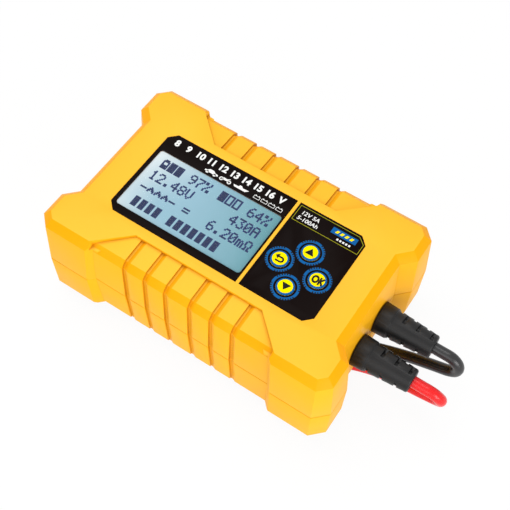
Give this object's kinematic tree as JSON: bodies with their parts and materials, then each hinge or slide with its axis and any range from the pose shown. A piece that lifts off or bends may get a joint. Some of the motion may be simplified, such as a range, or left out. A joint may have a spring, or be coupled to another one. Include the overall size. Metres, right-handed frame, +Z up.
{
  "type": "battery tester",
  "caption": "Hand-held battery tester with a ribbed yellow case, a display, keys, and red and black leads that end in spring clamps.",
  "frame": {"origin": "middle of the case on the surface that it stands on, under its feet", "axes": "+X along the case towards the leads, +Y to the top of the display, +Z up out of the display"},
  "size_m": [0.2094, 0.11, 0.059],
  "materials": {
    "case_yellow": "satin",
    "panel_black": "satin",
    "window_clear": "polished",
    "display_film": "smooth",
    "backlight_white": "matte",
    "frame_steel": "brushed",
    "board_green": "satin",
    "contact_brass": "polished",
    "switch_black": "matte",
    "connector_white": "matte",
    "ribbon_grey": "matte",
    "ceramic_white": "matte",
    "capacitor_sleeve": "satin",
    "ferrite": "matte",
    "copper": "satin",
    "heatsink_aluminium": "brushed",
    "fuse_glass": "polished",
    "screw_steel": "satin",
    "spring_steel": "satin",
    "foot_rubber": "matte",
    "relief_rubber": "satin",
    "key_yellow": "satin",
    "lead_black": "satin",
    "lead_red": "satin",
    "clamp_black": "satin",
    "clamp_red": "satin"
  },
  "bodies": {
    "root": {"upper_shell": "case_yellow", "lower_shell": "case_yellow", "case_screws": "screw_steel", "rubber_feet": "foot_rubber", "screen_panel": "panel_black", "keypad_panel": "panel_black", "display_window": "window_clear", "display_glass": "display_film", "backlight": "backlight_white", "display_frame": "frame_steel", "display_board": "board_green", "display_pins": "contact_brass", "key_switches": "switch_black", "main_board": "board_green", "power_board": "board_green", "board_screws": "screw_steel", "control_chip": "switch_black", "buzzer": "switch_black", "link_connectors": "connector_white", "link_ribbon": "ribbon_grey", "load_relay": "switch_black", "load_resistor": "ceramic_white", "capacitors": "capacitor_sleeve", "choke_core": "ferrite", "choke_winding": "copper", "heatsink": "heatsink_aluminium", "power_transistors": "switch_black", "fuse_clips": "contact_brass", "fuse": "fuse_glass", "lead_terminals": "contact_brass", "power_inlet": "switch_black", "inlet_pin": "contact_brass", "strain_relief_black": "relief_rubber", "lead_black": "lead_black", "lead_inner_black": "lead_black", "clamp_lower_black": "clamp_black", "jaw_plate_lower_black": "copper", "clamp_pin_black": "screw_steel", "clamp_spring_black": "spring_steel", "clamp_boot_black": "lead_black", "strain_relief_red": "relief_rubber", "lead_red": "lead_red", "lead_inner_red": "lead_red", "clamp_lower_red": "clamp_red", "jaw_plate_lower_red": "copper", "clamp_pin_red": "screw_steel", "clamp_spring_red": "spring_steel", "clamp_boot_red": "lead_red"},
    "key_back_button": {"key_back": "key_yellow", "plunger_back": "switch_black"},
    "key_up_button": {"key_up": "key_yellow", "plunger_up": "switch_black"},
    "key_ok_button": {"key_ok": "key_yellow", "plunger_ok": "switch_black"},
    "key_down_button": {"key_down": "key_yellow", "plunger_down": "switch_black"},
    "clamp_black_jaw": {"clamp_upper_black": "clamp_black", "jaw_plate_upper_black": "copper"},
    "clamp_red_jaw": {"clamp_upper_red": "clamp_red", "jaw_plate_upper_red": "copper"}
  },
  "joints": [
    {"name": "press_back", "type": "slide", "parent": "root", "child": "key_back_button", "axis": [0, 0, -1], "range_m": [0, 0.0006], "stiffness_N_per_m": 500},
    {"name": "press_up", "type": "slide", "parent": "root", "child": "key_up_button", "axis": [0, 0, -1], "range_m": [0, 0.0006], "stiffness_N_per_m": 500},
    {"name": "press_ok", "type": "slide", "parent": "root", "child": "key_ok_button", "axis": [0, 0, -1], "range_m": [0, 0.0006], "stiffness_N_per_m": 500},
    {"name": "press_down", "type": "slide", "parent": "root", "child": "key_down_button", "axis": [0, 0, -1], "range_m": [0, 0.0006], "stiffness_N_per_m": 500},
    {"name": "open_clamp_black", "type": "hinge", "parent": "root", "child": "clamp_black_jaw", "pos_m": [0.016, 0.05535, 0.013], "axis": [0, 1, 0], "range_deg": [0, 25], "stiffness_Nm_per_rad": 0.1, "springref_deg": -45.84},
    {"name": "open_clamp_red", "type": "hinge", "parent": "root", "child": "clamp_red_jaw", "pos_m": [-0.065, 0.05535, 0.013], "axis": [0, 1, 0], "range_deg": [0, 25], "stiffness_Nm_per_rad": 0.1, "springref_deg": -45.84}
  ]
}
